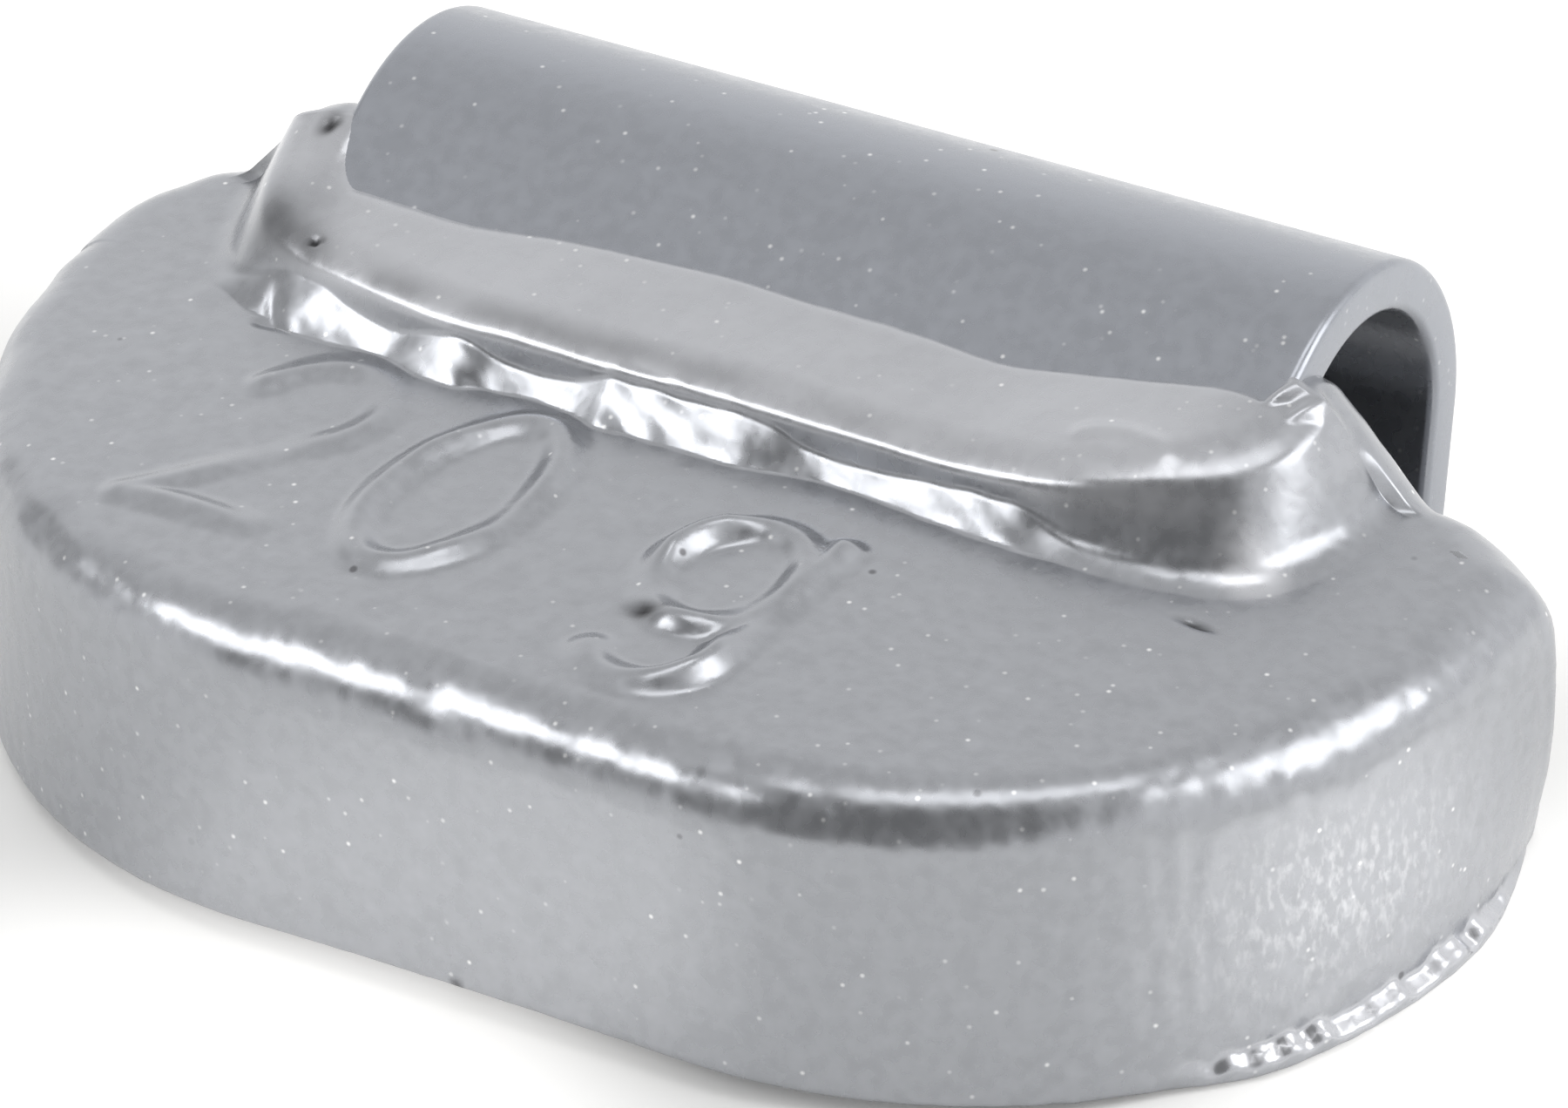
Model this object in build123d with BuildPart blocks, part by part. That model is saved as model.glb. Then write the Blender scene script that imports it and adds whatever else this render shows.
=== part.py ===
"""Hammer-on wheel balance weight, 20 g: a cast zinc body with a spring steel clip cast into it.

Millimetres. X runs along the rim, Y from the marked front to the clip, Z outwards from the hub.
The origin is at the middle of the box that the weight fills, on the level of its lowest points.
"""
import os
from math import asin, cos, degrees, radians, sin, sqrt, tan

from build123d import *

# Body casting
front_flat = 9.2
end_radius = 10.9
body_depth = 14.8
body_height = 6.4
back_corner_radius = 2.4
wall_draft = 3.0
face_edge_radius = 1.2

# Curve along the rim, and the flat foot that it leaves at each end of the underside
rim_radius = 180.0
foot_length = 2.0

# Raised pad round the root of the clip, sized where it meets the top face
pad_depth = 5.5
pad_back_margin = 0.2
pad_front_width = 22.4
pad_back_width = 25.0
pad_height = 1.05
pad_slope = 8.0
pad_front_draft = 16.0
pad_side_draft = 33.0
pad_corner_radius = 2.2
pad_corner_growth = 0.5
pad_back_corner_radius = 1.0
pad_foot_radius = 0.7
pad_edge_radius = 0.35

# Spring clip, and the gap for the rim's lip at its widest
lip_gap = 3.8
clip_width = 20.6
clip_thickness = 1.0
clip_bend_radius = 3.85
clip_rise = 2.6
clip_lean = 14.0
leg_length = 3.7
tongue_slope = 27.6
tongue_length = 6.0
tongue_corner_radius = 2.5
anchor_hole_diameter = 2.5
anchor_hole_spacing = 11.0

# Stock behind the back wall, cut away once the rounds are made
back_stock = 1.5
tolerance = 0.01

# Places worked out from the sizes above
half_length = front_flat / 2 + end_radius
overall_depth = body_depth + lip_gap + clip_thickness
front_y = -overall_depth / 2
back_y = front_y + body_depth
end_sweep = 90 + degrees(asin((body_depth + back_stock - end_radius) / end_radius))

# Underside and top face lie on arcs about the wheel's axis
arch_rise = rim_radius - sqrt(rim_radius**2 - (half_length - foot_length) ** 2)
arch_center_z = arch_rise - rim_radius
face_z = arch_rise + body_height

# Pad: its root lies under the face by more than the face drops along the pad
pad_back_y = back_y - pad_back_margin
pad_front_y = pad_back_y - pad_depth
pad_root = body_height / 4
pad_top = Plane(
    origin=(0, pad_front_y, face_z + pad_height),
    x_dir=(1, 0, 0),
    z_dir=(0, -sin(radians(pad_slope)), cos(radians(pad_slope))),
)

# Outer line of the clip: tongue, bend over the rim's lip, and free leg
bend_y = overall_depth / 2 - clip_bend_radius
bend_z = face_z + clip_rise - clip_bend_radius
tongue_angle = radians(tongue_slope)
tongue_top = (bend_y - clip_bend_radius * sin(tongue_angle), bend_z + clip_bend_radius * cos(tongue_angle))
tongue_end = (
    tongue_top[0] - tongue_length * cos(tongue_angle),
    tongue_top[1] - tongue_length * sin(tongue_angle),
)
bend_sweep = 90 + tongue_slope + clip_lean
tongue_plane = Plane(
    origin=(0, (tongue_top[0] + tongue_end[0]) / 2, (tongue_top[1] + tongue_end[1]) / 2),
    x_dir=(1, 0, 0),
    z_dir=(0, -sin(tongue_angle), cos(tongue_angle)),
)

with BuildPart() as spring_clip:
    with BuildSketch(Plane.YZ.offset(-clip_width / 2)):
        with BuildLine():
            tongue = Line(tongue_end, tongue_top)
            bend = JernArc(tongue @ 1, tongue % 1, clip_bend_radius, -bend_sweep)
            Line(bend @ 1, bend @ 1 + (bend % 1) * leg_length)
            offset(amount=clip_thickness, side=Side.RIGHT)
        make_face()
    extrude(amount=clip_width)
    tongue_corners = faces().sort_by(Axis.Y)[0].edges().filter_by(Axis.X, reverse=True)
    fillet(tongue_corners, tongue_corner_radius)
    # Anchor holes in the tongue, which the zinc fills
    with BuildSketch(tongue_plane):
        with GridLocations(anchor_hole_spacing, 1, 2, 1):
            Circle(anchor_hole_diameter / 2)
    extrude(amount=2 * clip_thickness, both=True, mode=Mode.SUBTRACT)
spring_clip.part.label = "spring_clip"

with BuildPart() as clip_pad:
    # Raised pad: steep at the front and the back, flatter at the sides, with corners that widen upwards
    for rise in (-pad_root, clip_rise):
        front_inset = rise * tan(radians(pad_front_draft))
        side_inset = rise * tan(radians(pad_side_draft))
        with BuildSketch(Plane.XY.offset(face_z + rise)):
            with BuildLine():
                Polyline(
                    (side_inset - pad_front_width / 2, pad_front_y + front_inset),
                    (pad_front_width / 2 - side_inset, pad_front_y + front_inset),
                    (pad_back_width / 2 - side_inset, pad_back_y - front_inset),
                    (side_inset - pad_back_width / 2, pad_back_y - front_inset),
                    close=True,
                )
            make_face()
            fillet(vertices().group_by(Axis.Y)[0], pad_corner_radius + rise * pad_corner_growth)
            fillet(vertices().group_by(Axis.Y)[-1], pad_back_corner_radius)
    loft(ruled=True)
    split(bisect_by=pad_top, keep=Keep.BOTTOM)
    fillet(faces().sort_by(Axis.Z)[-1].edges(), pad_edge_radius)

with BuildPart() as zinc_body:
    # Plan outline with draft: straight front, round ends, and stock behind the back wall
    with BuildSketch():
        with BuildLine():
            front = Line((-front_flat / 2, front_y), (front_flat / 2, front_y))
            right_end = JernArc(front @ 1, front % 1, end_radius, end_sweep)
            left_end = JernArc(front @ 0, front % 0 * -1, end_radius, -end_sweep)
            Line(right_end @ 1, left_end @ 1)
        make_face()
    extrude(amount=face_z + clip_rise, taper=wall_draft)
    # Side view along the rim: a ring sector between the underside and the top face
    with BuildSketch(Plane.XZ):
        with Locations((0, arch_center_z)):
            Circle(rim_radius + body_height)
            Circle(rim_radius, mode=Mode.SUBTRACT)
    extrude(amount=2 * body_depth, both=True, mode=Mode.INTERSECT)
    face_rim = edges().filter_by(
        lambda edge: edge.bounding_box().min.Z > body_height / 2 and edge.center().Y < back_y
    )
    fillet(face_rim, face_edge_radius)
    # The pad joins the face with a hollow fillet
    add(clip_pad.part)
    pad_foot = edges(Select.NEW).filter_by(lambda edge: edge.bounding_box().max.Z < face_z + tolerance)
    fillet(pad_foot, pad_foot_radius)
    # Flat back wall with rounded corners, then the slot that the tongue is cast into
    with BuildSketch(Plane.XY.offset(-body_height)):
        with Locations((0, back_y)):
            Rectangle(2 * half_length, 2 * body_depth, align=(Align.CENTER, Align.MAX))
        fillet(vertices().group_by(Axis.Y)[-1], back_corner_radius)
    extrude(amount=4 * body_height, mode=Mode.INTERSECT)
    add(spring_clip.part, mode=Mode.SUBTRACT)
zinc_body.part.label = "zinc_body"

os.makedirs("parts", exist_ok=True)
export_step(zinc_body.part, "parts/zinc_body.step")
export_step(spring_clip.part, "parts/spring_clip.step")
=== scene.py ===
"""A hammer-on wheel balance weight: a coated zinc casting with a bent spring strip, on a pale studio floor.

Lengths below are millimetres. x runs along the rim, y from the casting's front edge towards the clip,
and z upwards from the level that the casting's two ends rest on.
"""

import bpy
import numpy as np
from mathutils import Matrix, Vector


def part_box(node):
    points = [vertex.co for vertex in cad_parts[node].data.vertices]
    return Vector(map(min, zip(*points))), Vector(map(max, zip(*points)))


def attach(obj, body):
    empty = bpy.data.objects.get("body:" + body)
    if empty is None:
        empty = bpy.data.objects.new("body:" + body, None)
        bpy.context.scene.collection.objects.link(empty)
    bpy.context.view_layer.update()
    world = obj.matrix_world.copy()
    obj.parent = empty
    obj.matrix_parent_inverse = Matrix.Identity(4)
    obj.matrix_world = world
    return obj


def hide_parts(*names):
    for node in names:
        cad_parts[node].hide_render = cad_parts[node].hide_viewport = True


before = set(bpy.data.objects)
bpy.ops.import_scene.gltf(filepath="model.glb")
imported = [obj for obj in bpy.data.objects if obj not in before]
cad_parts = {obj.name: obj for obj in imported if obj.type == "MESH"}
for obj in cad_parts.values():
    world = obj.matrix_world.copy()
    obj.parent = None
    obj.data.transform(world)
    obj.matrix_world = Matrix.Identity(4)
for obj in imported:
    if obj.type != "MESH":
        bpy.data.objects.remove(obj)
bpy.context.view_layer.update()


# The zinc casting
# A die-cast block with a straight front and round ends, curved along the rim. A raised pad stands round the
# root of the clip, and the thick coat of paint has run into every corner and softened the raised marking.
MM = 0.001
clip_high = np.array(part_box("spring_clip")[1]) / MM
body_high = np.array(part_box("zinc_body")[1]) / MM
front_y = -clip_high[1]
body_depth = body_high[1] - front_y
half_length = body_high[0]
end_radius = 10.9
half_flat = half_length - end_radius
back_corner_radius = 2.4
body_height = 6.4
wall_draft = np.tan(np.radians(3.0))
face_edge_radius = 1.2
lower_edge_radius = 0.22
rim_radius = 180.0
foot_length = 2.0
arch_rise = rim_radius - np.sqrt(rim_radius**2 - (half_length - foot_length) ** 2)

# The pad: pairs give its left and its right half
pad_front = body_depth - 5.35
pad_half_width = 11.3, 11.45
pad_side_run = 0.33, 0.20
pad_side_depth = 6.0, 2.8
pad_corner_sharpness = 1.9, 0.9
pad_height = 1.06
pad_slope = np.tan(np.radians(7.0))
ear_rise = 0.75, 0.35

# The strip where it leaves the pad
clip_half_width = clip_high[0]
clip_bend_radius = 3.85
tongue_slope = np.radians(27.6)
bend_middle = np.array([clip_high[1] - front_y - clip_bend_radius, clip_high[2] - clip_bend_radius])

# Cells of the face, about a tenth of a millimetre wide
grid_across = 310
grid_deep = 175


def ripple(points, size, seed, waves=20):
    """Smooth irregularity of about unit height: a sum of plane waves in seeded directions, each about as
    long as the size given."""
    dice = np.random.default_rng(seed)
    directions = dice.normal(size=(waves, points.shape[-1]))
    directions /= np.linalg.norm(directions, axis=1, keepdims=True)
    lengths = size * dice.uniform(0.7, 1.5, waves)
    phases = dice.uniform(0, 2 * np.pi, waves)
    angles = points @ (directions * (2 * np.pi / lengths)[:, None]).T + phases
    return np.cos(angles).sum(-1) * np.sqrt(2 / waves)


def smooth_step(low, high, value):
    """Zero at low, one at high, and a cubic between them; low may be the larger one."""
    share = np.clip((value - low) / (high - low), 0, 1)
    return share * share * (3 - 2 * share)


def bell(value, middle, reach):
    """One at the middle, falling off on both sides: exp of minus the square of distance over reach."""
    return np.exp(-(((value - middle) / reach) ** 2))


def graded(count, peaks):
    """Places from 0 to 1, closer together near each peak of place, reach and strength: the inverse of the
    density's running sum."""
    fine = np.linspace(0, 1, 4001)
    density = np.ones_like(fine)
    for place, reach, strength in peaks:
        density += strength * bell(fine, place, reach)
    total = np.concatenate([[0], np.cumsum((density[1:] + density[:-1]) / 2)])
    return np.interp(np.linspace(0, total[-1], count + 1), total, fine)


def casting_outline():
    """Plan outline at the base, anticlockwise from the middle of the front: line, end arc, corner arc, back
    line, then the mirror image. Gives the points, the angles of their outward normals and the running
    length."""
    corner_rise = body_depth - back_corner_radius - end_radius
    corner_run = np.sqrt((end_radius - back_corner_radius) ** 2 - corner_rise**2)
    meet = np.arctan2(corner_rise, corner_run)
    end = np.linspace(-np.pi / 2, meet, 1500)
    corner = np.linspace(meet, np.pi / 2, 400)[1:]
    end_arc = [half_flat, end_radius] + end_radius * np.stack([np.cos(end), np.sin(end)], 1)
    corner_arc = back_corner_radius * np.stack([np.cos(corner), np.sin(corner)], 1)
    corner_arc += [half_flat + corner_run, body_depth - back_corner_radius]
    right = np.concatenate([[[0, 0]], end_arc, corner_arc, [[0, body_depth]]])
    angles = np.concatenate([[-np.pi / 2], end, corner, [np.pi / 2]])
    points = np.concatenate([right, right[-2::-1] * [-1, 1]])
    angles = np.concatenate([angles, np.pi - angles[-2::-1]])
    steps = np.linalg.norm(np.diff(points, axis=0), axis=1)
    return points, angles, np.concatenate([[0], np.cumsum(steps)])


outline_points, outline_angles, outline_lengths = casting_outline()
outline_total = outline_lengths[-1]


def on_outline(lengths):
    """Points and outward normals of the outline at these lengths along it."""
    lengths = np.mod(lengths, outline_total)
    points = np.stack([np.interp(lengths, outline_lengths, outline_points[:, axis]) for axis in (0, 1)], -1)
    angles = np.interp(lengths, outline_lengths, outline_angles)
    return points, np.stack([np.cos(angles), np.sin(angles)], -1)


# The face is a grid between four stretches of the outline: front, right end, back and left end. It is finer
# near the round ends and along the pad's front
across = graded(grid_across, [(0.1, 0.05, 1.0), (0.9, 0.05, 1.0)])
deep = graded(grid_deep, [(0.62, 0.10, 2.2)])
front_corner = half_flat + end_radius * np.radians(44)
back_corner = outline_total / 2 - (half_length - 1.6)
right_run = front_corner + deep * (back_corner - front_corner)
loop_lengths = np.concatenate([
    (front_corner * (2 * across - 1))[:-1],
    right_run[:-1],
    (outline_total / 2 + (outline_total / 2 - back_corner) * (2 * across - 1))[:-1],
    (outline_total - right_run[::-1])[:-1],
])
loop_points, loop_normals = on_outline(loop_lengths)
loop_count = len(loop_lengths)


def arch(x, height):
    """Level of a point at this height over the underside: both are arcs about the wheel's axis."""
    radius = rim_radius + height
    return np.sqrt(radius**2 - x**2) - rim_radius + arch_rise


def pad_inside(x, y):
    """How far a point lies inside the pad's outline at face level: the smooth minimum of the distances from a
    front line, which bends back on the left and bulges on the right, and from two sides that spread towards
    the back, the left one more. Also gives the direction that leads inwards fastest."""
    side_run = np.where(x < 0, *pad_side_run)
    lean = 1 / np.hypot(1, side_run)
    sharpness = np.where(x < 0, *pad_corner_sharpness)
    bend_back = 0.06 * np.maximum(-5.5 - x, 0) ** 1.5
    bulge = 0.12 * smooth_step(5.5, 9.0, x)
    from_front = y - pad_front - bend_back + bulge
    spread = side_run * np.minimum(y - pad_front, np.where(x < 0, *pad_side_depth))
    from_side = (np.where(x < 0, *pad_half_width) + spread - np.abs(x)) * lean
    gap = from_side - from_front
    inside = np.minimum(from_front, from_side) - np.log1p(np.exp(-sharpness * np.abs(gap))) / sharpness
    side_share = 1 / (1 + np.exp(np.clip(sharpness * gap, -40, 40)))
    inward_x = -np.sign(x) * lean * side_share
    inward_y = 1 - side_share + side_run * lean * side_share
    size = np.hypot(inward_x, inward_y)
    return inside, inward_x / size, inward_y / size


def pad_edge(inside, top, flank, contact, apron, foot, tight, soft_radius):
    """Profile of the pad's edge, walked at an even pace: face, a straight apron of paint, hollow foot, flank,
    tight edge, soft edge, top. Takes the plain distance inside the outline, the top's height, the steepness
    of the flank and of the apron, and the sizes of apron, foot, tight edge and soft edge. Gives the distance
    to use instead, and the height."""
    outer, inner = 1.7, 2.6
    soft = np.radians(32)
    runs = [
        apron * np.cos(contact),
        foot * (np.sin(flank) - np.sin(contact)),
        None,
        tight * (np.sin(flank) - np.sin(soft)),
        soft_radius * np.sin(soft),
    ]
    rises = [
        apron * np.sin(contact),
        foot * (np.cos(contact) - np.cos(flank)),
        None,
        tight * (np.cos(soft) - np.cos(flank)),
        soft_radius * (1 - np.cos(soft)),
    ]
    rises[2] = np.maximum(top - rises[0] - rises[1] - rises[3] - rises[4], 0.01)
    runs[2] = rises[2] / np.tan(flank)
    start = (rises[0] + rises[1]) / np.tan(flank) - runs[0] - runs[1]
    lengths = [
        start + outer,
        apron,
        foot * (flank - contact),
        rises[2] / np.sin(flank),
        tight * (flank - soft),
        soft_radius * soft,
        np.maximum(inner - start - sum(runs), 0.05),
    ]
    ends = np.cumsum([np.broadcast_to(length, inside.shape) for length in lengths], axis=0)
    walk = np.clip((inside + outer) / (outer + inner), 0, 1) * ends[-1]
    gone = [np.clip(walk - (ends[i - 1] if i else 0), 0, lengths[i]) for i in range(7)]
    foot_turn = contact + gone[2] / foot
    tight_turn = flank - gone[4] / tight
    soft_turn = soft - gone[5] / soft_radius
    place = -outer + gone[0] + gone[1] * np.cos(contact) + foot * (np.sin(foot_turn) - np.sin(contact))
    place = place + gone[3] * np.cos(flank) + tight * (np.sin(flank) - np.sin(tight_turn))
    place = place + soft_radius * (np.sin(soft) - np.sin(soft_turn)) + gone[6]
    height = gone[1] * np.sin(contact) + foot * (np.cos(contact) - np.cos(foot_turn))
    height = height + gone[3] * np.sin(flank) + tight * (np.cos(tight_turn) - np.cos(flank))
    height = height + soft_radius * (np.cos(soft_turn) - np.cos(soft))
    within = (inside > -outer) & (inside < inner)
    return np.where(within, place, inside), np.where(within, height, np.where(inside > 0, top, 0))


def paint_lobes(x):
    """Width of the apron of paint along the pad's front: bells on a narrow apron, one for each run of paint,
    given by its place along x, its reach and its width."""
    narrow, widest = 0.33, 0.86
    lobes = [(-9.2, 1.5, 0.88), (-5.5, 1.0, 0.84), (-1.5, 1.2, 1.0), (0.5, 1.2, 1.0), (6.2, 2.1, 0.70)]
    width = np.full_like(x, narrow)
    for middle, reach, size in lobes:
        width = width + (size - narrow) * bell(x, middle, reach)
    return np.minimum(width, widest)


def arc_line(middle, radii, start, end, count=28):
    """Points along a stretch of an ellipse, from one angle in degrees to another."""
    angles = np.radians(np.linspace(start, end, count))
    return np.array(middle) + np.stack([radii[0] * np.cos(angles), radii[1] * np.sin(angles)], 1)


def stroke_distance(x, y, line):
    """Shortest distance from each point to a line of straight runs."""
    nearest = np.full(x.shape, 9.0)
    for (x0, y0), (x1, y1) in zip(line[:-1], line[1:]):
        along = ((x - x0) * (x1 - x0) + (y - y0) * (y1 - y0)) / ((x1 - x0) ** 2 + (y1 - y0) ** 2)
        along = np.clip(along, 0, 1)
        nearest = np.minimum(nearest, np.hypot(x - x0 - along * (x1 - x0), y - y0 - along * (y1 - y0)))
    return nearest


def marking(x, y):
    """Height of the raised mass mark: a number and its unit, as soft ridges round single strokes, which the
    coat has filled unevenly. Each figure has its lower left corner, its lean, its height and its strokes."""
    ridge_half_width = 0.54
    figure_two = np.concatenate([arc_line((1.6, 3.8), (1.35, 1.35), 165, -35), [[0.2, 0.0], [3.1, 0.0]]])
    figure_nought = arc_line((1.6, 2.6), (1.35, 2.5), 0, 360, 48)
    bowl = arc_line((1.35, 1.9), (1.3, 1.6), 0, 360, 40)
    stem = np.concatenate([[[2.7, 3.5]], arc_line((1.5, -0.5), (1.2, 1.2), 0, -150)])
    figures = [
        ((-9.2, 3.5), 0.10, 0.11, [figure_two]),
        ((-5.0, 3.3), 0.10, 0.22, [figure_nought]),
        ((1.2, 3.9), 0.08, 0.27, [bowl, stem]),
    ]
    height = np.zeros_like(x)
    for (left, base), lean, rise, lines in figures:
        u, v = x - left - lean * (y - base), y - base
        for line in lines:
            ridge = rise * (1 - smooth_step(0.0, ridge_half_width, stroke_distance(u, v, line)))
            height = np.maximum(height, ridge)
    filled = 1 + 0.3 * ripple(np.stack([x, y], -1), 3.2, 51)
    return height * np.clip(filled, 0.25, 1.5)


def chips(x, y):
    """Share of bare metal on the face: small chips in the coat, bells given by place and by two reaches."""
    places = [
        (1.96, 4.13, 0.34, 0.20),
        (-10.40, 13.30, 0.16, 0.24),
        (10.81, 8.57, 0.30, 0.06),
        (-9.3, 10.9, 0.12, 0.08),
    ]
    return sum(bell(x, middle_x, reach_x) * bell(y, middle_y, reach_y)
               for middle_x, middle_y, reach_x, reach_y in places)


def face_surface(x, y):
    """Moves plain grid points onto the finished face: the arc of the rim, the raised marking, the pad with
    its uneven apron of paint, the ears beside the clip, the web of paint at the clip's right corner, the
    fine groove in front of the clip, and a crease and some chips in the coat."""
    flat = np.stack([x, y], -1)
    inside, inward_x, inward_y = pad_inside(x, y)
    aside = np.abs(inward_x)
    left, right = smooth_step(5.5, 10.5, -x), smooth_step(6.4, 9.2, x)

    # The apron runs along the front only: at the right end and on the sides the foot is a plain hollow
    hollow = np.maximum(right, aside)
    uneven_x = x + 0.06 * ripple(flat[..., :1], 1.6, 5)
    apron = paint_lobes(uneven_x) * (1 - hollow) * (1 + 0.2 * left) + 0.03
    uneven_slope = 1.5 * (1 - hollow) * ripple(flat, 0.9, 6)
    contact = np.radians(43 - 38 * hollow - 2 * left * (1 - aside) + uneven_slope)

    # The flank is steep in front and leans back towards the ends
    front_flank = 76 - 12 * left - 30 * smooth_step(6.0, 11.0, x)
    side_flank = 65 - 4 * left
    flank = np.radians(front_flank + (side_flank - front_flank) * aside)

    # The top slopes up to the clip and rises towards both ends
    face_level = arch(x, body_height)
    left_rise = 0.2 * smooth_step(6.5, 10.3, -x) * smooth_step(10.0, 12.6, y)
    right_rise = 0.45 * smooth_step(4.5, 9.5, x)
    sloped = pad_height + pad_slope * np.maximum(y - pad_front, 0)
    plain_top = sloped + left_rise + right_rise + 0.02 * ripple(flat, 4.5, 11)

    # Ears of paint climb the strip's edges, a round one on the left and a folded web on the right
    tongue_top = bend_middle + clip_bend_radius * np.array([-np.sin(tongue_slope), np.cos(tongue_slope)])
    clip_level = tongue_top[1] + np.tan(tongue_slope) * (y - tongue_top[0])
    beside_clip = smooth_step(clip_half_width - 1.0, clip_half_width - 0.3, np.abs(x))
    folds = 0.10 + 0.08 * np.sin(2 * np.pi * (x - 0.45 * y) / 0.55)
    web = folds * smooth_step(9.5, 9.9, x) * (1 - smooth_step(13.0, 13.9, y))
    climb = clip_level - face_level - plain_top - 0.04 + web
    round_climb = 0.5 * (climb - 0.08 + np.hypot(climb - 0.08, 0.4))
    ear = np.clip(np.where(x < 0, round_climb, climb), 0, np.where(x < 0, *ear_rise)) * beside_clip

    right_corner = 0.8 * right * aside * (1 - aside)
    place, height = pad_edge(
        inside, plain_top + ear, flank, contact, apron,
        foot=0.26 + 0.45 * hollow,
        tight=0.27 + 0.25 * right * (1 - aside) + (0.35 * left - 0.04) * aside + right_corner,
        soft_radius=1.4 + 0.3 * left * aside,
    )
    shift = place - inside
    level = face_level + height

    # Fine forms of the coat
    under_clip = 1 - smooth_step(clip_half_width - 0.6, clip_half_width - 0.2, np.abs(x))
    groove = 0.08 * bell(clip_level, level, 0.06) * under_clip
    wrinkle = stroke_distance(x, y, arc_line((8.0, 11.0), (0.9, 0.4), 20, 160, 9))
    crease = 0.05 * (1 - smooth_step(0, 0.3, wrinkle))
    mark = marking(x, y) * (1 - smooth_step(-0.9, -0.1, inside))
    orange_peel = 0.0025 * ripple(flat, 1.1, 31)
    detail = mark + crease + orange_peel - groove - 0.10 * chips(x, y)
    return x + shift * inward_x, y + shift * inward_y, level + detail


def coons_patch(front, right, back, left):
    """Grid between four curves: the two ruled surfaces added up, less the flat one through the corners."""
    s, t = across[None, :, None], deep[:, None, None]
    ruled = (1 - t) * front[None] + t * back[None] + (1 - s) * left[:, None] + s * right[:, None]
    corners = (1 - s) * (1 - t) * front[0] + s * (1 - t) * front[-1]
    corners = corners + (1 - s) * t * back[0] + s * t * back[-1]
    return ruled - corners


# Which way the wall faces, in degrees: -90 along the front, 0 at the right end, 90 along the back
loop_turn = np.degrees(np.arctan2(loop_normals[:, 1], loop_normals[:, 0]))
front_part = 1 - smooth_step(-75, -50, loop_turn)
right_end = bell(loop_turn, -35, 28)

# Rounded upper edge all round, with the draft of the mould everywhere but on the back wall. The coat is thick
# on the right end, where the edge is rounder and stands out as a shoulder before the cut-back rear corner,
# thin on the left, and lumpy along the front edge, with one flat facet in the middle
swell = 0.68 * bell(loop_turn, 18, 30) - 0.12 * bell(loop_turn, -147, 35)
back_cut = smooth_step(35, 70, loop_turn) * smooth_step(9.6, 13.2, loop_points[:, 0])
shoulder = 0.20 * bell(loop_turn, 20, 18) - 0.22 * back_cut
front_facet = bell(loop_points[:, 0], -0.2, 1.0) * (np.abs(loop_turn + 90) < 10)
draft = wall_draft * (1 - smooth_step(0.5, 1.0, loop_normals[:, 1]))
uneven_edge = 0.06 * ripple(loop_points, 4.0, 41) + 0.008 * ripple(loop_points, 1.4, 42)
edge_radius = face_edge_radius * (1 + uneven_edge) * (1 + 0.35 * bell(loop_turn, 30, 30))
rim_inset = draft * (body_height - edge_radius) + edge_radius - 0.6 * swell - shoulder
rim_points = loop_points - loop_normals * rim_inset[:, None]
closed = np.concatenate([rim_points, rim_points[:1]])
side_ends = np.cumsum([0, grid_across, grid_deep, grid_across, grid_deep])
sides = [closed[first : last + 1] for first, last in zip(side_ends[:-1], side_ends[1:])]
front_side, right_side, back_side, left_side = sides
plan = coons_patch(front_side, right_side, back_side[::-1], left_side[::-1])
plan_x, plan_y = plan[..., 0], plan[..., 1]
face = np.stack(face_surface(plan_x, plan_y), -1)

# Wall below the face, ring by ring: the rounded edge, the drafted side and the lower edge. Each ring has its
# distance inside the base's outline and its rise over the base
edge_turns = np.linspace(0, 1, 13)[1:] * np.pi / 2
side_shares = np.concatenate([np.linspace(1, 0.2, 15)[1:], np.linspace(0.2, 0, 13)[1:]])
lower_turns = np.linspace(0, 1, 4)[1:] * np.pi / 2
face_loop = np.concatenate([face[0, :-1], face[:-1, -1], face[-1, :0:-1], face[:0:-1, 0]])
base_level = np.maximum(arch(loop_points[:, 0], 0), 0)
face_rise = face_loop[:, 2] - base_level
edge_lump = 0.010 * front_part * ripple(loop_points, 1.9, 43) - 0.07 * front_facet
edge_lump = edge_lump * np.sin(2 * edge_turns)[:, None]
edge_in = rim_inset - edge_radius * np.sin(edge_turns)[:, None] - edge_lump
edge_rise = face_rise - edge_radius * (1 - np.cos(edge_turns))[:, None] + edge_lump
side_rise = lower_edge_radius + (edge_rise[-1] - lower_edge_radius) * side_shares[:, None]
share_up = np.clip(side_rise / edge_rise[-1], 0, 1)

# On the right end the paint has run down in streaks and the heel draws in. A lip of flash along the lower
# edge there has a row of beads on top
along_and_up = np.stack([(loop_lengths - 0.35 * side_rise) / 0.4, side_rise / 1.1], -1)
paint_runs = right_end * ripple(along_and_up, 1.0, 61) * np.sin(np.pi * share_up)
heel = 0.28 * bell(loop_turn, 16, 18) * (1 - share_up)
lip_depth, lip_low, lip_high = 0.34, 0.30, 0.54
lip_stretch = smooth_step(-44, -30, loop_turn) * smooth_step(14, -6, loop_turn)
bead_rise = side_rise - 0.055 * np.clip(ripple(loop_points, 0.75, 62), -1.5, 1.5)
lip = lip_depth * lip_stretch * smooth_step(lip_high, lip_low, bead_rise)
side_in = edge_in[-1] * share_up + (1 - share_up) * draft * lower_edge_radius
side_in = side_in - 0.008 * paint_runs - lip - 0.3 * swell * np.sin(np.pi * share_up) + heel
lower_in = side_in[-1] + lower_edge_radius * (1 - np.cos(lower_turns))[:, None]
lower_rise = lower_edge_radius * (1 - np.sin(lower_turns))[:, None] * np.ones(loop_count)
wall_in = np.concatenate([edge_in, side_in, lower_in])
wall_rise = np.concatenate([edge_rise, side_rise, lower_rise])
wall_plan = loop_points[None] - loop_normals[None] * wall_in[..., None]
wall = np.concatenate([wall_plan, (base_level + wall_rise)[..., None]], -1)
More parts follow.
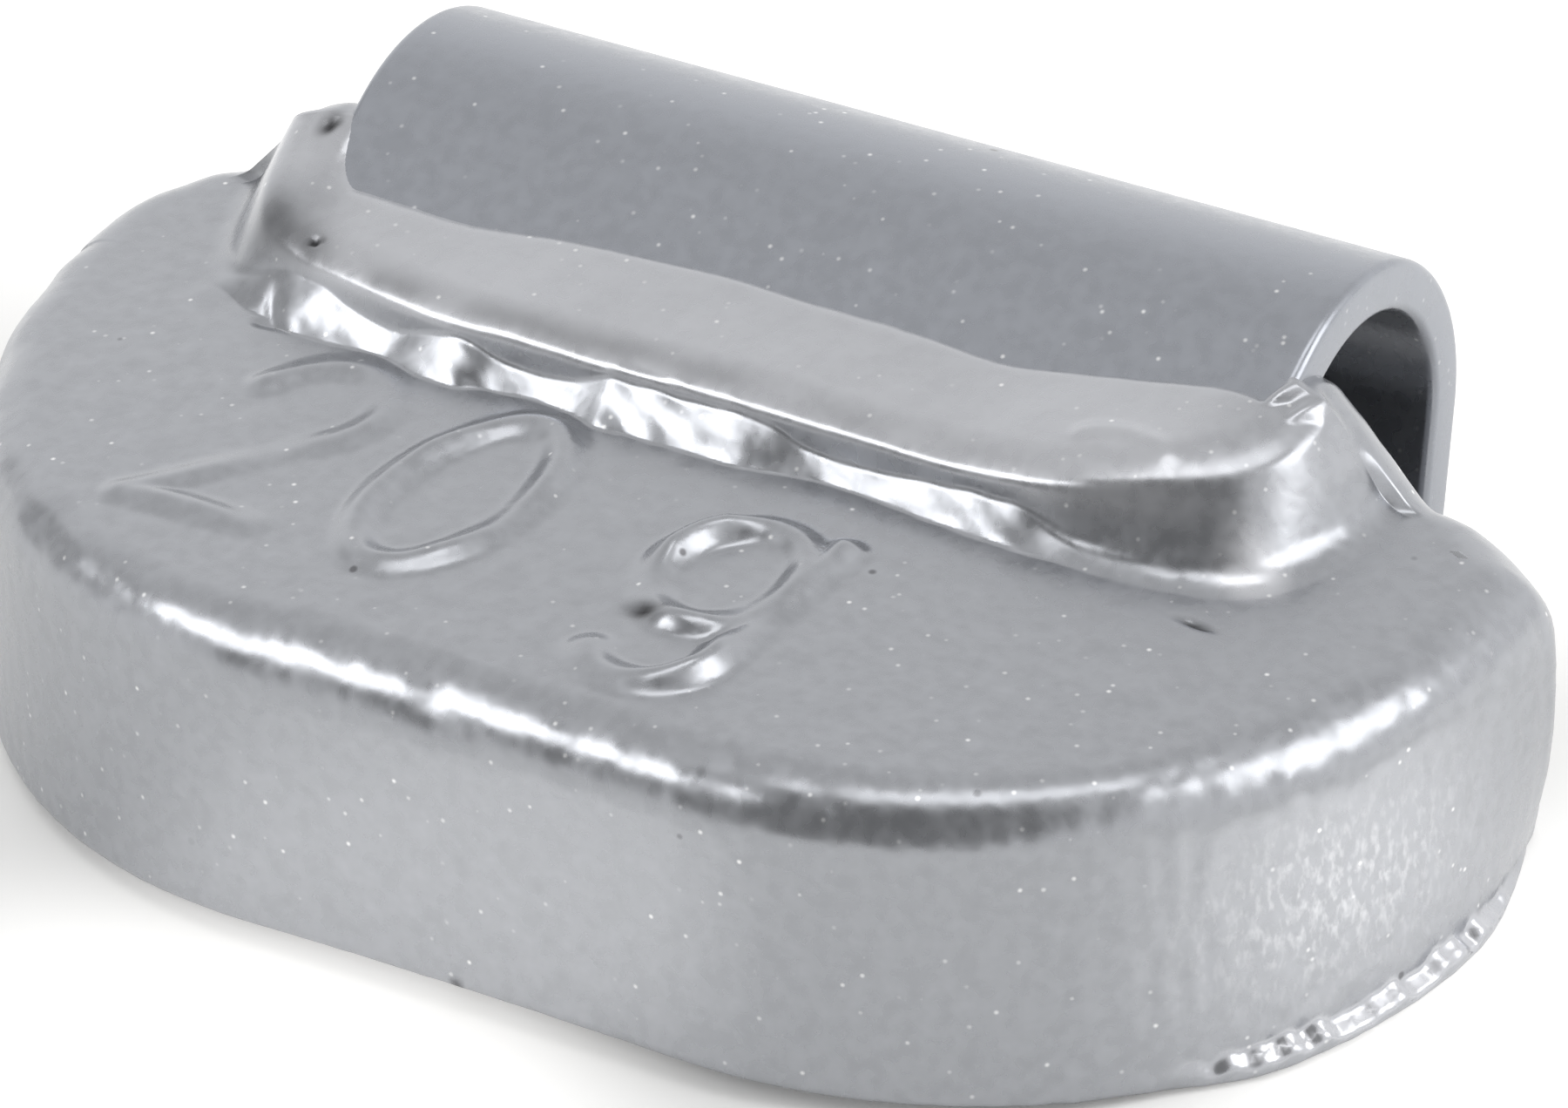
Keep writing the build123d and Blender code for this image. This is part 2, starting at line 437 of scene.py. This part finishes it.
pebbles = 0.004 * (1 + right_end) * ripple(wall[:-1], 0.6, 81)
wall[:-1, :, :2] += loop_normals * pebbles[..., None]

# Underside: straight runs between the front and the back of the lowest ring
base = wall[-1]
half_loop = loop_count // 2
start = grid_across + grid_deep // 2
first_run = base[(start - np.arange(half_loop + 1)) % loop_count]
second_run = base[(start + np.arange(half_loop + 1)) % loop_count]
run_shares = np.linspace(0, 1, 7)[1:-1]
under = first_run[None] * (1 - run_shares)[:, None, None] + second_run[None] * run_shares[:, None, None]
under[..., 2] = np.maximum(arch(under[..., 0], 0), 0)


def quads(indices):
    """Faces of a grid of vertex numbers, each with its corners anticlockwise in the grid's own order."""
    corners = indices[:-1, :-1], indices[:-1, 1:], indices[1:, 1:], indices[1:, :-1]
    return np.stack(corners, -1).reshape(-1, 4)


def build_piece(name, vertices, faces, material, shares):
    """Mesh object at the origin from points in millimetres, smooth shaded, in the frame's metres, with named
    shares from 0 to 1 at its points for the material."""
    mesh = bpy.data.meshes.new(name)
    placed = (vertices + [0, front_y, 0]) * MM
    mesh.from_pydata(placed.tolist(), [], faces)
    mesh.materials.append(material)
    mesh.polygons.foreach_set("use_smooth", np.ones(len(mesh.polygons), dtype=bool))
    for key, values in shares.items():
        mesh.attributes.new(key, "FLOAT", "POINT").data.foreach_set("value", np.clip(values, 0, 1))
    mesh.update()
    mesh.validate()
    piece = bpy.data.objects.new(name, mesh)
    bpy.context.scene.collection.objects.link(piece)
    return piece


# Numbers of the points: first the face, then the wall, then the underside, which shares its first and last
# runs with the lowest ring
face_count = face.shape[0] * face.shape[1]
face_index = np.arange(face_count).reshape(face.shape[:2])
face_rim = np.concatenate([
    face_index[0, :-1], face_index[:-1, -1], face_index[-1, :0:-1], face_index[:0:-1, 0],
])
wall_index = face_count + np.arange(wall.shape[0] * loop_count).reshape(-1, loop_count)
ring_index = np.concatenate([face_rim[None], wall_index])
ring_index = np.concatenate([ring_index, ring_index[:, :1]], 1)
base_index = wall_index[-1]
under_count = under.shape[0] * under.shape[1]
under_index = base_index[-1] + 1 + np.arange(under_count).reshape(under.shape[:2])
first_index = base_index[(start - np.arange(half_loop + 1)) % loop_count]
second_index = base_index[(start + np.arange(half_loop + 1)) % loop_count]
under_grid = np.concatenate([first_index[None], under_index, second_index[None]])
under_grid[:, 0] = first_index[0]
under_grid[:, -1] = first_index[-1]
body_faces = [
    *quads(face_index).tolist(),
    *quads(ring_index)[:, ::-1].tolist(),
    *quads(under_grid).tolist(),
]
body_faces = [list(dict.fromkeys(corners)) for corners in body_faces]
body_faces = [corners for corners in body_faces if len(corners) > 2]
body_vertices = np.concatenate([face.reshape(-1, 3), wall.reshape(-1, 3), under.reshape(-1, 3)])


def point_shares(on_face, on_wall):
    """One share for each point of the casting, from those on face and wall, with none on the underside."""
    return np.concatenate([on_face.ravel(), on_wall.ravel(), np.zeros(under_count)])


# Where the metal shows: a few chips on the face and short stretches of the lower edge along the front. The
# same dark tone makes a patchy darker band along the pad's front edge, and painted shade on its left front
# corner
chipped_edge = ripple(loop_points, 1.3, 71) + 0.7 * ripple(loop_points, 5.0, 72)
chipped_edge = smooth_step(1.4, 2.2, chipped_edge) * front_part
wall_chips = chipped_edge * (1 - smooth_step(0.12, 0.4, wall_rise))
depth_in, across_in, _ = pad_inside(plan_x, plan_y)
left_corner_shade = smooth_step(8.3, 10.0, -plan_x)
patchy = np.clip(0.65 + 0.3 * ripple(plan, 2.2, 73), 0, 1) * smooth_step(9.0, -2.0, plan_x)
edge_band = bell(depth_in, 0.76 + 0.14 * left_corner_shade, 0.24 + 0.24 * left_corner_shade)
edge_band_and_corner_shade = 0.30 * (patchy + left_corner_shade) * edge_band * smooth_step(0.9, 0.4, np.abs(across_in))
bare_and_shade_shares = point_shares(chips(plan_x, plan_y) + edge_band_and_corner_shade, wall_chips)

# Painted light: the pad's top is painted lighter, standing in for light on it, less so on its two ends, with
# a painted highlight at the foot of the pad's right front corner and painted glints along the beads
side_rings = slice(len(edge_rise), -len(lower_rise))
pad_painted_light = 0.55 * smooth_step(0.6, 1.0, face[..., 2] - arch(face[..., 0], body_height))
less_light_left = smooth_step(8.5, 10.5, -plan_x) * smooth_step(12.8, 11.6, plan_y)
less_light_right = smooth_step(8.5, 10.5, plan_x)
corner_gap = np.hypot((face[..., 0] - 11.0) / 0.8, (face[..., 1] - 10.3) / 0.7)
corner_painted_highlight = 0.9 * smooth_step(1.2, 0.4, corner_gap)
pad_painted_light = pad_painted_light * (1 - 0.7 * (less_light_left + less_light_right)) + corner_painted_highlight
bead_painted_glint = np.zeros(wall_rise.shape)
bead_painted_glint[side_rings] = lip_stretch * bell(bead_rise, (lip_low + lip_high) / 2, 0.12)
painted_light_shares = point_shares(pad_painted_light, bead_painted_glint)

# Where it is scuffed: the upper half of the wall's right end
wall_scuffs = np.zeros(wall_rise.shape)
wall_scuffs[side_rings] = bell(loop_turn, -22, 14) * bell(share_up, 0.6, 0.32)
scuff_shares = point_shares(np.zeros(face_count), wall_scuffs)


def linear(code):
    """Linear colour from an sRGB hex code."""
    parts = np.array([int(code[i : i + 2], 16) for i in (1, 3, 5)]) / 255
    parts = np.where(parts <= 0.04045, parts / 12.92, ((parts + 0.055) / 1.055) ** 2.4)
    return (*parts.tolist(), 1.0)


def add_node(tree, kind, links=(), values=(), **settings):
    """Adds a node, with its settings, its socket values and its links from other nodes' outputs."""
    node = tree.nodes.new(kind)
    for key, value in settings.items():
        setattr(node, key, value)
    for socket, value in dict(values).items():
        node.inputs[socket].default_value = value
    for socket, output in dict(links).items():
        tree.links.new(output, node.inputs[socket])
    return node


# Zinc-flake paint: a sprayed grey metallic coat between satin and gloss, fine-grained, with bright flakes
# that catch the light here and there, a few dark pits where the casting shows through, and pale scuffs where
# it was handled. Real flakes are a few hundredths of a millimetre wide, drawn about three times as coarse so
# that they show
# The points' shares also mix painted light, painted highlights and painted shade into the coat's colour
def silver_paint(name, dark, light, grain_depth):
    """Material of the silver coat, from the tones of its grain and the depth of it in millimetres. Reads the
    points' shares of painted light, of scuffed coat, and of bare metal and painted shade."""
    grain_size, flake_gap, pit_gap = 0.34 * MM, 0.36 * MM, 1.7 * MM
    scuff_width, scuff_length = 0.15 * MM, 0.3 * MM
    # The light tone is painted light; the dark metal tone stands for bare metal and also for painted shade
    painted_light_tone, scuff_tone, flake_tone = "#d4d5d9", "#e6e7ea", "#ffffff"
    pit_tone, metal_and_shade_tone = "#666669", "#3b3b3d"
    material = bpy.data.materials.new(name)
    material.use_nodes = True
    tree = material.node_tree
    shader = tree.nodes["Principled BSDF"]
    place = add_node(tree, "ShaderNodeTexCoord").outputs["Object"]

    # Grain, and painted light mixed in where the points' shares ask for it
    grain = add_node(
        tree, "ShaderNodeTexNoise", {"Vector": place}, {"Scale": 1 / grain_size, "Detail": 1.0},
    ).outputs["Fac"]
    toned = add_node(
        tree, "ShaderNodeMix", {"Factor": grain}, {6: linear(dark), 7: linear(light)}, data_type="RGBA",
    ).outputs[2]
    bright = add_node(tree, "ShaderNodeAttribute", attribute_name="painted_light").outputs["Fac"]
    brightened = add_node(
        tree, "ShaderNodeMix", {"Factor": bright, 6: toned}, {7: linear(painted_light_tone)}, data_type="RGBA",
    ).outputs[2]

    # Scuffs: a noise drawn out along one leaning direction
    stretched = add_node(
        tree, "ShaderNodeMapping", {"Vector": place},
        {"Rotation": (0.2, -0.5, 0), "Scale": (1 / scuff_width, 1 / scuff_width, 1 / scuff_length)},
    ).outputs["Vector"]
    scuff_noise = add_node(
        tree, "ShaderNodeTexNoise", {"Vector": stretched}, {"Scale": 1.0, "Detail": 2.0},
    ).outputs["Fac"]
    scuff_spot = add_node(
        tree, "ShaderNodeMapRange", {"Value": scuff_noise},
        {"From Min": 0.48, "From Max": 0.72, "To Max": 0.45},
    ).outputs["Result"]
    scuffed = add_node(tree, "ShaderNodeAttribute", attribute_name="scuffed").outputs["Fac"]
    scuffs = add_node(
        tree, "ShaderNodeMath", {0: scuff_spot, 1: scuffed}, operation="MULTIPLY",
    ).outputs["Value"]
    rubbed = add_node(
        tree, "ShaderNodeMix", {"Factor": scuffs, 6: brightened}, {7: linear(scuff_tone)}, data_type="RGBA",
    ).outputs[2]

    # Flakes and pits: a spot in the middle of each cell, of a strength picked cell by cell
    flake_cells = add_node(tree, "ShaderNodeTexVoronoi", {"Vector": place}, {"Scale": 1 / flake_gap})
    flake_spot = add_node(
        tree, "ShaderNodeMapRange", {"Value": flake_cells.outputs["Distance"]},
        {"From Min": 0.04, "From Max": 0.17, "To Min": 1.0, "To Max": 0.0},
    ).outputs["Result"]
    flake_pick = add_node(
        tree, "ShaderNodeSeparateColor", {"Color": flake_cells.outputs["Color"]},
    ).outputs["Red"]
    flake_bright = add_node(
        tree, "ShaderNodeMapRange", {"Value": flake_pick}, {"From Min": 0.5, "From Max": 1.0, "To Max": 0.85},
    ).outputs["Result"]
    flakes = add_node(
        tree, "ShaderNodeMath", {0: flake_spot, 1: flake_bright}, operation="MULTIPLY",
    ).outputs["Value"]
    flaked = add_node(
        tree, "ShaderNodeMix", {"Factor": flakes, 6: rubbed}, {7: linear(flake_tone)}, data_type="RGBA",
    ).outputs[2]
    pit_cells = add_node(tree, "ShaderNodeTexVoronoi", {"Vector": place}, {"Scale": 1 / pit_gap})
    pit_spot = add_node(
        tree, "ShaderNodeMapRange", {"Value": pit_cells.outputs["Distance"]},
        {"From Min": 0.03, "From Max": 0.06, "To Min": 1.0, "To Max": 0.0},
    ).outputs["Result"]
    pit_pick = add_node(
        tree, "ShaderNodeSeparateColor", {"Color": pit_cells.outputs["Color"]},
    ).outputs["Red"]
    pit_deep = add_node(
        tree, "ShaderNodeMapRange", {"Value": pit_pick}, {"From Min": 0.55, "From Max": 1.0},
    ).outputs["Result"]
    pits = add_node(
        tree, "ShaderNodeMath", {0: pit_spot, 1: pit_deep}, operation="MULTIPLY",
    ).outputs["Value"]
    pitted = add_node(
        tree, "ShaderNodeMix", {"Factor": pits, 6: flaked}, {7: linear(pit_tone)}, data_type="RGBA",
    ).outputs[2]

    # Bare metal where the coat is chipped, with the same dark tone as painted shade on the pad's left front
    #     # corner, in a darker band along the pad's front edge and inside the strip; and the gloss of the
    #     coat
    bare_and_shade = add_node(tree, "ShaderNodeAttribute", attribute_name="chipped_and_shaded").outputs["Fac"]
    chipped_and_shaded = add_node(
        tree, "ShaderNodeMix", {"Factor": bare_and_shade, 6: pitted}, {7: linear(metal_and_shade_tone)}, data_type="RGBA",
    ).outputs[2]
    roughness = add_node(
        tree, "ShaderNodeMapRange", {"Value": grain},
        {"From Min": 0.3, "From Max": 0.7, "To Min": 0.24, "To Max": 0.32},
    ).outputs["Result"]
    bump = add_node(
        tree, "ShaderNodeBump", {"Height": grain}, {"Strength": 1.0, "Distance": grain_depth * MM},
    ).outputs["Normal"]
    shader.inputs["Metallic"].default_value = 0.85
    for socket, output in {"Base Color": chipped_and_shaded, "Roughness": roughness, "Normal": bump}.items():
        tree.links.new(output, shader.inputs[socket])
    return material


body_coat = silver_paint("silver_zinc_flake_paint", "#a0a2a6", "#b2b4b9", 0.006)
zinc_casting = build_piece(
    "zinc_casting", body_vertices, body_faces, body_coat,
    {"chipped_and_shaded": bare_and_shade_shares, "painted_light": painted_light_shares, "scuffed": scuff_shares},
)
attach(zinc_casting, "root")
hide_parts("zinc_body")


# The spring clip
# A strip of spring steel, bent over in a U that grips the rim's lip. Its tongue is cast into the pad, and the
# same silver coat covers it, with painted shade darkening the inner face.
clip_thickness = 1.0
tongue_length = 3.2
clip_lean = np.radians(14.0)
leg_length = 3.7
strip_edge_radius = 0.2


def clip_path():
    """Outer line of the strip in the plane across the rim: tongue, arc and leg. Gives points and outward
    normals."""
    turns = np.linspace(np.pi / 2 + tongue_slope, -clip_lean, 90)
    arc_normals = np.stack([np.cos(turns), np.sin(turns)], 1)
    arc = bend_middle + clip_bend_radius * arc_normals
    tongue_way = np.array([np.cos(tongue_slope), np.sin(tongue_slope)])
    leg_way = np.array([-np.sin(clip_lean), -np.cos(clip_lean)])
    tongue = arc[0] - np.linspace(tongue_length, 0, 25)[:-1, None] * tongue_way
    leg = arc[-1] + np.linspace(0, leg_length, 20)[1:, None] * leg_way
    normals = np.concatenate([
        np.repeat(arc_normals[:1], len(tongue), 0), arc_normals, np.repeat(arc_normals[-1:], len(leg), 0),
    ])
    return np.concatenate([tongue, arc, leg]), normals


def strip_section():
    """Closed section across the strip: outer face, round edge, inner face, round edge. Gives x and depth."""
    r = strip_edge_radius
    flat = np.linspace(-1, 1, 80) * (clip_half_width - r)
    turn = np.linspace(0, np.pi / 2, 6)[1:-1]
    corner_x, corner_d = r * np.sin(turn), r * (1 - np.cos(turn))
    right_x = flat[-1] + np.concatenate([corner_x, [r, r], corner_x[::-1]])
    right_d = np.concatenate([corner_d, [r], [clip_thickness - r], (clip_thickness - corner_d)[::-1]])
    x = np.concatenate([flat, right_x, flat[::-1], -right_x])
    depth = np.concatenate([np.zeros(80), right_d, np.full(80, clip_thickness), right_d[::-1]])
    return x, depth


path_points, path_normals = clip_path()
section_x, section_depth = strip_section()
strip_yz = path_points[:, None, :] - section_depth[None, :, None] * path_normals[:, None, :]
strip_x = np.broadcast_to(section_x[None, :, None], strip_yz.shape[:2] + (1,))
strip = np.concatenate([strip_x, strip_yz], -1)
strip_index = np.arange(strip.shape[0] * strip.shape[1]).reshape(strip.shape[:2])
strip_loop = np.concatenate([strip_index, strip_index[:, :1]], 1)
clip_faces = quads(strip_loop).tolist()
clip_faces += [strip_index[0, ::-1].tolist(), strip_index[-1].tolist()]
clip_coat = silver_paint("silver_paint_on_steel", "#9da0a6", "#a6a9b0", 0.005)
# Painted shade: the strip's inner face is mixed towards the dark tone
inner_face_shade = 0.4 * smooth_step(clip_thickness - strip_edge_radius, clip_thickness, section_depth)
bent_strip = build_piece(
    "bent_strip", strip.reshape(-1, 3), clip_faces, clip_coat, {"chipped_and_shaded": np.tile(inner_face_shade, len(strip))},
)
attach(bent_strip, "root")
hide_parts("spring_clip")


# The stage
# A white floor with pools of painted glow, soft studio light from all round with three lamps, and a camera
# with a long lens at the photograph's angle. Lengths from here on are metres, apart from the camera's.
floor_half = 1.5
floor_corners = np.array([(-1, -1, 0), (1, -1, 0), (1, 1, 0), (-1, 1, 0)]) * floor_half
floor_mesh = bpy.data.meshes.new("studio_floor")
floor_mesh.from_pydata(floor_corners.tolist(), [], [(0, 1, 2, 3)])

# White floor paint, matt, that glows in pools: painted light in front of the part, to its right and behind it
# lifts the floor to white there, and is what the lower wall mirrors
front_pool = (-0.0025, -0.0134, 0)
right_pool = (0.021, -0.001, 0)
floor_paint = bpy.data.materials.new("white_floor_with_painted_glow")
floor_paint.use_nodes = True
floor_tree = floor_paint.node_tree
floor_shader = floor_tree.nodes["Principled BSDF"]
floor_shader.inputs["Base Color"].default_value = linear("#f3f3f2")
floor_shader.inputs["Roughness"].default_value = 0.9
floor_shader.inputs["Emission Color"].default_value = linear("#fffdfa")
floor_place = add_node(floor_tree, "ShaderNodeTexCoord").outputs["Object"]
front_gap, right_gap = [
    add_node(
        floor_tree, "ShaderNodeVectorMath", {0: floor_place}, {1: pool}, operation="DISTANCE",
    ).outputs["Value"]
    for pool in (front_pool, right_pool)
]
floor_y = add_node(floor_tree, "ShaderNodeSeparateXYZ", {"Vector": floor_place}).outputs["Y"]

# Where each pool of painted glow begins and ends, and its strength there
pool_ranges = [
    (front_gap, 0.003, 0.0095, 0.38, 0.0),
    (right_gap, 0.001, 0.012, 0.75, 0.09),
    (floor_y, 0.004, 0.014, 0.0, 0.25),
]
front_glow, right_glow, back_glow = [
    add_node(
        floor_tree, "ShaderNodeMapRange", {"Value": value},
        {"From Min": low, "From Max": high, "To Min": at_low, "To Max": at_high},
        interpolation_type="SMOOTHSTEP",
    ).outputs["Result"]
    for value, low, high, at_low, at_high in pool_ranges
]
near_glow = add_node(
    floor_tree, "ShaderNodeMath", {0: front_glow, 1: right_glow}, operation="ADD",
).outputs["Value"]
floor_glow = add_node(
    floor_tree, "ShaderNodeMath", {0: near_glow, 1: back_glow}, operation="ADD",
).outputs["Value"]
floor_tree.links.new(floor_glow, floor_shader.inputs["Emission Strength"])
floor_mesh.materials.append(floor_paint)
floor = bpy.data.objects.new("studio_floor", floor_mesh)
bpy.context.scene.collection.objects.link(floor)

# White studio all round, darker overhead, with one unlit side in front and a dimmer one on the left
unlit_way = (0.088, -0.823, 0.562)
dim_left_way = (-0.930, -0.110, 0.351)
world = bpy.data.worlds.new("studio")
world.use_nodes = True
studio = world.node_tree
sky = add_node(studio, "ShaderNodeTexCoord").outputs["Generated"]
sky_height = add_node(studio, "ShaderNodeSeparateXYZ", {"Vector": sky}).outputs["Z"]
near_unlit, near_dim_left = [
    add_node(
        studio, "ShaderNodeVectorMath", {0: sky}, {1: way}, operation="DOT_PRODUCT",
    ).outputs["Value"]
    for way in (unlit_way, dim_left_way)
]

# Where each part of the studio dims, from and to, and its strength there
sky_ranges = [
    (sky_height, 0.30, 0.95, 1.07, 0.72),
    (near_unlit, 0.68, 0.84, 1.0, 0.19),
    (near_dim_left, 0.88, 0.97, 1.0, 0.52),
]
ceiling, unlit, dim_left = [
    add_node(
        studio, "ShaderNodeMapRange", {"Value": value},
        {"From Min": low, "From Max": high, "To Min": at_low, "To Max": at_high},
        interpolation_type="SMOOTHSTEP",
    ).outputs["Result"]
    for value, low, high, at_low, at_high in sky_ranges
]
lit = add_node(studio, "ShaderNodeMath", {0: unlit, 1: dim_left}, operation="MULTIPLY").outputs["Value"]
glow = add_node(studio, "ShaderNodeMath", {0: ceiling, 1: lit}, operation="MULTIPLY").outputs["Value"]
studio.nodes["Background"].inputs["Color"].default_value = linear("#ffffff")
studio.links.new(glow, studio.nodes["Background"].inputs["Strength"])
bpy.context.scene.world = world


def softbox(name, place, size, radiance):
    """White area light of the given sides and radiance at a place, turned to face the part; metres."""
    lamp = bpy.data.lights.new(name, "AREA")
    lamp.shape = "RECTANGLE"
    lamp.size, lamp.size_y = size
    lamp.energy = radiance * size[0] * size[1] * np.pi
    holder = bpy.data.objects.new(name, lamp)
    turn = (-Vector(place)).to_track_quat("-Z", "Y").to_matrix().to_4x4()
    holder.matrix_world = Matrix.Translation(place) @ turn
    bpy.context.scene.collection.objects.link(holder)


softbox("left_softbox", (-0.25, -0.262, 0.31), (0.27, 0.15), 4.2)
softbox("top_softbox", (0.05, -0.03, 0.50), (0.36, 0.15), 1.8)
softbox("right_softbox", (0.36, 0.10, 0.28), (0.22, 0.26), 2.6)

# Camera fitted to the photograph: its direction, its roll and, in the photograph's pixels, its focal length
# and how far beside the target it is aimed
azimuth, elevation, roll = np.radians([33.07, 34.88, -3.79])
camera_distance = 206.781
focal_length_px = 12553.0
photo_width = 1800
middle_px = np.array([-12.659, 112.857])
target = np.array([0, 12.0 + front_y, arch_rise])
back_way = np.array([
    np.sin(azimuth) * np.cos(elevation), -np.cos(azimuth) * np.cos(elevation), np.sin(elevation),
])
level_way = np.array([np.cos(azimuth), np.sin(azimuth), 0])
rise_way = np.cross(back_way, level_way)
right_way = np.cos(roll) * level_way + np.sin(roll) * rise_way
up_way = np.cos(roll) * rise_way - np.sin(roll) * level_way
aim_way = middle_px[0] * right_way + middle_px[1] * up_way - focal_length_px * back_way
aim_way /= np.linalg.norm(aim_way)
right_way -= aim_way * (right_way @ aim_way)
right_way /= np.linalg.norm(right_way)
up_way = np.cross(right_way, aim_way)
lens = bpy.data.cameras.new("photo_camera")
lens.sensor_fit = "HORIZONTAL"
lens.sensor_width = 36.0
lens.lens = focal_length_px / photo_width * lens.sensor_width
lens.clip_start = 0.01
camera = bpy.data.objects.new("photo_camera", lens)
camera_place = Matrix.Translation((target + back_way * camera_distance) * MM)
camera.matrix_world = camera_place @ Matrix(np.stack([right_way, up_way, -aim_way], 1).tolist()).to_4x4()
bpy.context.scene.collection.objects.link(camera)
bpy.context.scene.camera = camera
bpy.context.scene.view_settings.view_transform = "Standard"
